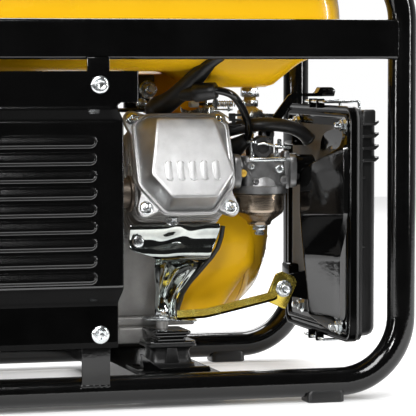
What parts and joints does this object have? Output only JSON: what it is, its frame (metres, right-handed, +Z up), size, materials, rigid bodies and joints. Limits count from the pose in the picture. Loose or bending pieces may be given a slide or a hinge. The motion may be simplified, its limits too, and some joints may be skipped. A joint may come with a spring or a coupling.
{
  "type": "portable generator",
  "caption": "Open-frame portable generator: tube frame, tilted overhead-valve engine with side air cleaner, alternator, louvred muffler guard, fuel tank and outlet panel.",
  "frame": {"origin": "centre of the footprint on the floor, under the feet", "axes": "+X along the crankshaft towards the starter and air cleaner, -Y the valve cover side, +Z up"},
  "size_m": [0.6, 0.389, 0.454],
  "materials": {
    "black_powder_coat": "gloss powder coat",
    "black_sheet": "gloss powder coat on sheet",
    "dark_channel": "semi-gloss powder coat",
    "black_rubber": "matt",
    "lead_rubber": "gloss",
    "zinc_plate": "zinc plated",
    "exhaust_steel": "heat tinted",
    "yellow_paint": "gloss paint",
    "cast_aluminium": "cast, lightly polished",
    "carb_casting": "grey die casting",
    "bowl_steel": "brushed, brownish",
    "plug_ceramic": "glazed",
    "brass_fitting": "machined",
    "yellow_zinc": "yellow passivated",
    "filter_foam": "open foam",
    "grey_seal": "matt",
    "black_plastic": "fine grain",
    "panel_paint": "satin",
    "red_plastic": "gloss",
    "meter_plastic": "gloss",
    "rotor_steel": "machined"
  },
  "bodies": {
    "generator": {"near_side_loop": "black_powder_coat", "far_side_loop": "black_powder_coat", "top_cross_tubes": "black_powder_coat", "near_tank_rail": "black_powder_coat", "far_tank_rail": "black_powder_coat", "engine_cross_plate": "dark_channel", "alternator_cross_plate": "dark_channel", "rubber_feet": "black_rubber", "engine_mounts": "black_rubber", "mount_brackets": "zinc_plate", "guard_brackets": "black_powder_coat", "muffler_guard": "black_sheet", "guard_bolts": "zinc_plate", "muffler": "exhaust_steel", "exhaust_pipe": "exhaust_steel", "fuel_tank": "yellow_paint", "tank_bolts": "zinc_plate", "crankcase": "cast_aluminium", "crankcase_cover": "cast_aluminium", "cylinder_barrel": "cast_aluminium", "cylinder_head": "cast_aluminium", "valve_cover": "cast_aluminium", "cover_bolts": "zinc_plate", "spark_plug": "plug_ceramic", "plug_boot": "black_rubber", "ignition_lead": "lead_rubber", "fan_housing": "yellow_paint", "recoil_housing": "yellow_paint", "lower_shroud": "zinc_plate", "breather_hose": "black_rubber", "carburettor": "carb_casting", "float_bowl": "bowl_steel", "bowl_bolt": "brass_fitting", "filter_plate": "black_sheet", "filter_element": "filter_foam", "filter_seal": "grey_seal", "filter_cover": "black_plastic", "cleaner_stay": "yellow_zinc", "fuel_tap": "brass_fitting", "fuel_hose": "black_rubber", "alternator_housing": "cast_aluminium", "end_cover": "black_plastic", "control_panel": "panel_paint", "outlet_sockets": "black_plastic", "voltmeter": "meter_plastic"},
    "fuel_cap": {"fuel_cap": "black_plastic"},
    "crank_rotor": {"crank_rotor": "rotor_steel"},
    "choke_lever": {"choke_lever": "black_sheet"},
    "governor_arm": {"governor_arm": "zinc_plate"},
    "throttle_shaft": {"throttle_shaft": "zinc_plate"},
    "tap_lever": {"tap_lever": "zinc_plate"},
    "oil_dipstick": {"oil_dipstick": "black_plastic"},
    "upper_clip": {"upper_clip": "zinc_plate"},
    "lower_clip": {"lower_clip": "zinc_plate"},
    "left_cover": {"left_cover": "black_plastic"},
    "right_cover": {"right_cover": "black_plastic"},
    "breaker_lever": {"breaker_lever": "black_plastic"},
    "engine_switch": {"engine_switch": "red_plastic"},
    "pull_handle": {"pull_handle": "black_plastic", "starter_rope": "lead_rubber"}
  },
  "joints": [
    {"name": "cap_turn", "type": "hinge", "parent": "generator", "child": "fuel_cap", "pos_m": [-0.02, 0.0105, 0.435], "axis": [0, 0, 1], "range_deg": [0, 120]},
    {"name": "crank_turn", "type": "hinge", "parent": "generator", "child": "crank_rotor", "pos_m": [0, 0.0355, 0.168], "axis": [1, 0, 0], "continuous": true},
    {"name": "choke_swing", "type": "hinge", "parent": "generator", "child": "choke_lever", "pos_m": [0.176, -0.06, 0.262], "axis": [0, -1, 0], "range_deg": [0, 14]},
    {"name": "governor_swing", "type": "hinge", "parent": "generator", "child": "governor_arm", "pos_m": [0.112, -0.0615, 0.286], "axis": [0, 0, 1], "range_deg": [-20, 20]},
    {"name": "throttle_turn", "type": "hinge", "parent": "generator", "child": "throttle_shaft", "pos_m": [0.15, -0.0975, 0.25], "axis": [0, 0, 1], "range_deg": [-20, 20]},
    {"name": "tap_turn", "type": "hinge", "parent": "generator", "child": "tap_lever", "pos_m": [0.168, -0.0445, 0.279], "axis": [0, 1, 0], "range_deg": [0, 90]},
    {"name": "dipstick_turn", "type": "hinge", "parent": "generator", "child": "oil_dipstick", "pos_m": [0.05, 0.1205, 0.095], "axis": [0, 1, 0], "range_deg": [0, 180]},
    {"name": "upper_clip_swing", "type": "hinge", "parent": "generator", "child": "upper_clip", "pos_m": [0.232, -0.0495, 0.2945], "axis": [0, -1, 0], "range_deg": [0, 45]},
    {"name": "lower_clip_swing", "type": "hinge", "parent": "generator", "child": "lower_clip", "pos_m": [0.232, -0.0495, 0.0515], "axis": [0, 1, 0], "range_deg": [0, 45]},
    {"name": "left_cover_swing", "type": "hinge", "parent": "generator", "child": "left_cover", "pos_m": [-0.14, 0.1825, 0.2665], "axis": [1, 0, 0], "range_deg": [0, 100]},
    {"name": "right_cover_swing", "type": "hinge", "parent": "generator", "child": "right_cover", "pos_m": [-0.205, 0.1825, 0.2665], "axis": [1, 0, 0], "range_deg": [0, 100]},
    {"name": "breaker_swing", "type": "hinge", "parent": "generator", "child": "breaker_lever", "pos_m": [-0.084, 0.1725, 0.24], "axis": [1, 0, 0], "range_deg": [-15, 15]},
    {"name": "switch_swing", "type": "hinge", "parent": "generator", "child": "engine_switch", "pos_m": [-0.044, 0.172, 0.24], "axis": [1, 0, 0], "range_deg": [-12, 12]},
    {"name": "rope_pull", "type": "slide", "parent": "generator", "child": "pull_handle", "axis": [0, 1, 0], "range_m": [0, 0.3], "deforming": ["starter_rope"]}
  ],
  "couplings": [
    {"joint": "throttle_turn", "follows": "governor_swing", "ratio": 1}
  ]
}
